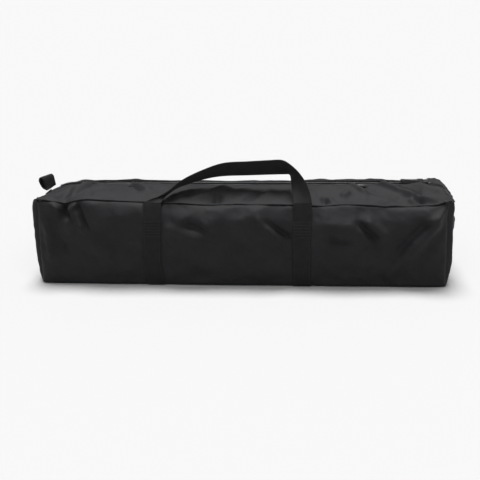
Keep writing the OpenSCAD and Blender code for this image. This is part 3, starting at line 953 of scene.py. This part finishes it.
TACK_ROWS = 6
TACK_ROW_STEP = 4.0
TACK_STEP = 0.9
EDGE_STEP = 3.4


def tack_rows(side):
    """Rows of close thread that end the sewn part of each strap."""
    dense = np.arange(-10.6, 10.7, TACK_STEP)
    places = []
    for middle in (LEFT_X, RIGHT_X):
        for row in range(TACK_ROWS):
            z = TACK_TOP - row * TACK_ROW_STEP + 0.35 * np.sin(dense * 1.3 + row)
            places.append(on_strap(side, middle, dense, z, 0.05))
    places = np.concatenate(places)
    lean = np.where(np.arange(len(places)) % 2, -0.25, 0.25)
    name = SIDES[side] + "_bartacks"
    piece = stitches(name + "_thread", places, xyz(lean, 0, 1), [0, side, 0], 1.9, 0.55)
    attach(piece, "bag")
    finish(piece, "thread", name)


def edge_stitching(side):
    """A line of stitches down each edge of each strap."""
    places = []
    for middle in (LEFT_X, RIGHT_X):
        for edge in (-1, 1):
            z = np.arange(5, TACK_TOP, EDGE_STEP)
            places.append(on_strap(side, middle, edge * (STRAP_W / 2 - 2.2), z, 0.02))
    name = SIDES[side] + "_strap_stitching"
    piece = stitches(name, np.concatenate(places), [0, 0, 1], [0, side, 0], 2.5, 0.5)
    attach(piece, "bag")
    finish(piece, "thread")


def zip_stitching(side):
    """Two lines of stitches that hold each half of the top to its zip tape."""
    places = []
    for out in (RIDGE_HALF + 2.2, RIDGE_HALF + 5.2):
        x = np.arange(-HALF_L + 12, HALF_L - 12, 3.2)
        places.append(xyz(x, side * out, top_out(side, x, out) + 0.62))
    name = SIDES[side] + "_zip_stitching"
    piece = stitches(name, np.concatenate(places), [1, 0, 0], [0, 0, 1], 2.4, 0.45)
    flap_blend(piece)
    finish(piece, "thread")


# -------- zip

TEETH_PITCH = 1.5
WIRE = 0.62
# One loop of the coil's wire, across the zip; its nose leaves room for the slider's post
TOOTH = ((-3.1, -0.35), (-2.75, -0.78), (-1.9, -0.82), (-1.1, -0.76), (-0.64, -0.4), (-0.64, 0.4),
         (-1.1, 0.76), (-1.9, 0.82), (-2.75, 0.78), (-3.1, 0.35))


def zip_line(x):
    """Height of the coil: straight on the slider's track, dipping to the end seams past it."""
    left = curve(((-281, 117.6), (-268, 121.6), (-257, 126.8), (-248, 129.1), (-240, ZIP_Z),
                  (-200, ZIP_Z)), x)
    right = curve(((200, ZIP_Z), (256, ZIP_Z), (264, 128.6), (273, 126), (281, 123.4)), x)
    return np.where(x < 0, left, right)


def coil(name, side, x_from, x_to):
    """Bent loops of nylon wire, side by side; the two coils' loops stand half a step apart."""
    shift = 0.0 if side == FRONT else TEETH_PITCH / 2
    first = math.ceil((x_from - shift) / TEETH_PITCH)
    last = math.floor((x_to - shift) / TEETH_PITCH)
    path = np.array(TOOTH)
    run = unit(np.roll(path, -1, axis=0) - np.roll(path, 1, axis=0))
    out = np.stack([run[:, 1], -run[:, 0]], axis=1)
    angles = np.arange(6) * math.pi / 3
    lean = np.linspace(-0.2, 0.2, len(path))
    lean = np.where(np.arange(len(path)) < len(path) / 2, lean, -lean)
    loops = []
    for i in range(first, last + 1):
        x = i * TEETH_PITCH + shift
        ring_x = (x + lean)[:, None] + np.cos(angles)[None] * WIRE / 2
        ring_y = path[:, :1] + out[:, :1] * np.sin(angles)[None] * WIRE / 2
        ring_z = path[:, 1:] + out[:, 1:] * np.sin(angles)[None] * WIRE / 2
        loops.append(xyz(ring_x, -side * ring_y, ring_z + zip_line(x)))
    return ring_tube(name, np.array(loops), COIL, loop=True)


def tape_strip(name, side, x_from, x_to):
    x = np.arange(x_from, x_to + 0.01, (x_to - x_from) / max(8, round((x_to - x_from) / 4)))
    y = np.array([0.5, 0.8, 2, 4, 6, 7.5, 9, 12, 15, 15.6, 15.8])
    xs, ys = np.meshgrid(x, y, indexing="ij")
    drop = ZIP_Z - (TAPE_TOP - 0.15)
    sag = 0.12 * noise(xs / 14, ys / 9, 61 + side) * ease((ys - 3) / 4)
    follow = ease((ys - 5) / 5) * ease((abs(xs) - TRACK_END + 20) / 40)
    height = zip_line(xs) - drop
    under_flap = np.minimum(height, top_height(side, xs, np.maximum(ys, RIDGE_HALF)) - 1.1)
    z = height * (1 - follow) + under_flap * follow + sag
    points = xyz(xs, side * ys, z)
    run = np.stack([xs, ys], axis=-1)
    return cloth_piece(name, points, 0.5, run, TAPE, (0, 0, 1))


def zip_parts():
    for side, word in SIDES.items():
        piece = tape_strip(f"{word}_zip_tape_weave", side, -TRACK_END, TRACK_END)
        flap_blend(piece)
        finish(piece, "zip_tape", f"{word}_zip_tape")
        piece = coil(f"{word}_zip_coil_teeth", side, -TRACK_END + 0.5, TRACK_END - 0.5)
        flap_blend(piece)
        finish(piece, "zip_coil", f"{word}_zip_coil")
    for end, word in ENDS.items():
        near = TRACK_END + 0.5
        far = STOP_FAR - 3.2
        seam = abs(side_seam_x(end, 120.0)) - 1.2
        for side, which in SIDES.items():
            x0, x1 = sorted((end * near, end * seam))
            piece = tape_strip(f"{word}_zip_tape_end_{which}", side, x0, x1)
            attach(piece, "bag")
            finish(piece, "zip_tape", f"{word}_zip_tape_end")
            x0, x1 = sorted((end * near, end * far))
            piece = coil(f"{word}_zip_coil_end_{which}", side, x0, x1)
            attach(piece, "bag")
            finish(piece, "zip_coil", f"{word}_zip_coil_end")


def bevelled(node_name, body, width, lift=0.0):
    """A CAD piece's own shape with its edges rounded."""
    mesh = frame["nodes"][node_name].data.copy()
    mesh.name = node_name + "_enamel"
    shape = bmesh.new()
    shape.from_mesh(mesh)
    bmesh.ops.remove_doubles(shape, verts=shape.verts, dist=0.005 * MM)
    bmesh.ops.dissolve_limit(shape, angle_limit=math.radians(2), verts=shape.verts, edges=shape.edges)
    limit = math.radians(35)
    sharp = [e for e in shape.edges if len(e.link_faces) == 2 and e.calc_face_angle(0) > limit]
    bmesh.ops.bevel(shape, geom=sharp, offset=width * MM, segments=3, profile=0.5, affect="EDGES")
    bmesh.ops.triangulate(shape, faces=[f for f in shape.faces if len(f.verts) > 4])
    shape.to_mesh(mesh)
    shape.free()
    mesh.transform(Matrix.Translation((0, 0, lift * MM)))
    mesh.materials.clear()
    mesh.materials.append(METAL)
    mesh.shade_smooth()
    mesh.set_sharp_from_angle(angle=math.radians(40))
    piece = add_object(mesh.name, mesh)
    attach(piece, body)
    finish(piece, "slider_metal", node_name)


# -------- inside bindings

def strip_tube(path, wide, thick, across):
    """Rings of a flat rounded strip along a path, its width along the given directions."""
    run = unit(np.gradient(path, axis=0))
    through = unit(np.cross(run, across))
    angles = np.arange(12) * math.pi / 6
    shape = np.stack([np.sign(np.cos(angles)) * abs(np.cos(angles)) ** 0.45 * wide / 2,
                      np.sign(np.sin(angles)) * abs(np.sin(angles)) ** 0.7 * thick / 2], axis=-1)
    return path[:, None] + across[:, None] * shape[None, :, :1] + through[:, None] * shape[None, :, 1:]


def bindings():
    for side, word in SIDES.items():
        x = np.linspace(-HALF_L + BINDING_W, HALF_L - BINDING_W, 150)
        z = seam_z(side, x) - BINDING_W
        # Clear of the cloth where it slopes in, above the binding's upper edge
        y = side * (wall_out(side, x, z + 5.5) - CLOTH_T - BINDING_T)
        rings = strip_tube(xyz(x, y, z), BINDING_W, BINDING_T, xyz(0 * x, 0, 1))
        piece = ring_tube(f"{word}_top_binding_tape", rings, BINDING)
        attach(piece, "bag")
        finish(piece, "binding", f"{word}_top_binding")
    for end, word in ENDS.items():
        reach = HALF_W - 8
        corners = [(-reach, 108), (-reach, 60), (-reach, 14), (-reach + 4, 8), (0, 7),
                   (reach - 4, 8), (reach, 14), (reach, 60), (reach, 108)]
        path = smooth_path([(end * (HALF_L - 3.4), y, z) for y, z in corners], 8)
        run = unit(np.gradient(path, axis=0))
        inward = unit(np.cross(run, np.tile([end, 0, 0], (len(path), 1))))
        piece = ring_tube(f"{word}_end_binding_tape", strip_tube(path, BINDING_W, 1.6, inward), BINDING)
        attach(piece, "bag")
        finish(piece, "binding", f"{word}_end_binding")


# -------- camera, light and floor

# In metres
CAMERA_PLACE = Vector((0.07315, -1.03851, 0.3919))
CAMERA_TARGET = Vector((-0.00453, 0, 0.04407))
CAMERA_ROLL = math.radians(-0.983)
LENS_MM = 56.7
FILM_MM = 36
ROOM_LIGHT = 0.18
BACKDROP = (0.94, 0.94, 0.94, 1)
FLOOR_GREY = (0.49, 0.49, 0.49)
FLOOR_REACH_M = 150.0


def camera():
    """Stands in front and to the right, a little above, turned by under a degree."""
    ahead = (CAMERA_TARGET - CAMERA_PLACE).normalized()
    right = ahead.cross(Vector((0, 0, 1))).normalized()
    level = Matrix((right, right.cross(ahead), -ahead)).transposed()
    data = bpy.data.cameras.new("camera")
    data.sensor_width = FILM_MM
    data.lens = LENS_MM
    seen = add_object("camera", data)
    roll = Matrix.Rotation(CAMERA_ROLL, 4, "Z")
    seen.matrix_world = Matrix.Translation(CAMERA_PLACE) @ level.to_4x4() @ roll
    bpy.context.scene.camera = seen


def surroundings():
    """A dim white room, which the camera sees as a pale backdrop."""
    world = bpy.data.worlds.new("studio")
    world.use_nodes = True
    tree = world.node_tree
    room = tree.nodes["Background"]
    room.inputs["Color"].default_value = (1, 1, 1, 1)
    room.inputs["Strength"].default_value = ROOM_LIGHT
    backdrop = tree.nodes.new("ShaderNodeBackground")
    backdrop.inputs["Color"].default_value = BACKDROP
    seen = tree.nodes.new("ShaderNodeLightPath")
    choose = tree.nodes.new("ShaderNodeMixShader")
    tree.links.new(seen.outputs["Is Camera Ray"], choose.inputs["Fac"])
    tree.links.new(room.outputs["Background"], choose.inputs[1])
    tree.links.new(backdrop.outputs["Background"], choose.inputs[2])
    tree.links.new(choose.outputs["Shader"], tree.nodes["World Output"].inputs["Surface"])
    bpy.context.scene.world = world


def sun(name, energy, spread, turn):
    """A wide distant light; its spread and its turn about each axis are in degrees."""
    data = bpy.data.lights.new(name, "SUN")
    data.energy = energy
    data.angle = math.radians(spread)
    lamp = add_object(name, data)
    lamp.rotation_euler = [math.radians(angle) for angle in turn]


def floor():
    mesh = bpy.data.meshes.new("floor")
    r = FLOOR_REACH_M
    mesh.from_pydata([(-r, -r, 0), (r, -r, 0), (r, r, 0), (-r, r, 0)], [], [(0, 1, 2, 3)])
    mesh.materials.append(new_material("pale_floor", FLOOR_GREY, 0.9, 0.0, 0.0))
    add_object("floor", mesh)


# -------- everything

bpy.context.scene.view_settings.view_transform = "Standard"
camera()
surroundings()
sun("sky_panel", 4.7, 26, (-10, -2, 0))
sun("front_panel_light", 1.15, 64, (42, 0, 6))
floor()
for side in SIDES:
    wall_panel(side)
for side in SIDES:
    top_panel(side)
for end in ENDS:
    end_panel(end)
base_panel()
bindings()
girth_strap(LEFT_X, "left_girth_strap")
girth_strap(RIGHT_X, "right_girth_strap")
handle("front_handle", FRONT_FOLD, 0.0, 1)
handle("back_handle", BACK_FOLD, BACK_HANG, -1)
for side in SIDES:
    tack_rows(side)
    edge_stitching(side)
for side in SIDES:
    zip_stitching(side)
zip_parts()
end_tab()
end_tab_anchor()
bevelled("slider_body", "slider", 0.22)
bevelled("slider_bridge", "slider", 0.3)
bevelled("pull_tab", "pull", 0.35)
bevelled("left_zip_stop", "bag", 0.3, zip_line(-STOP_FAR + 1.5) - ZIP_Z)
bevelled("right_zip_stop", "bag", 0.3, zip_line(STOP_FAR - 1.5) - ZIP_Z)
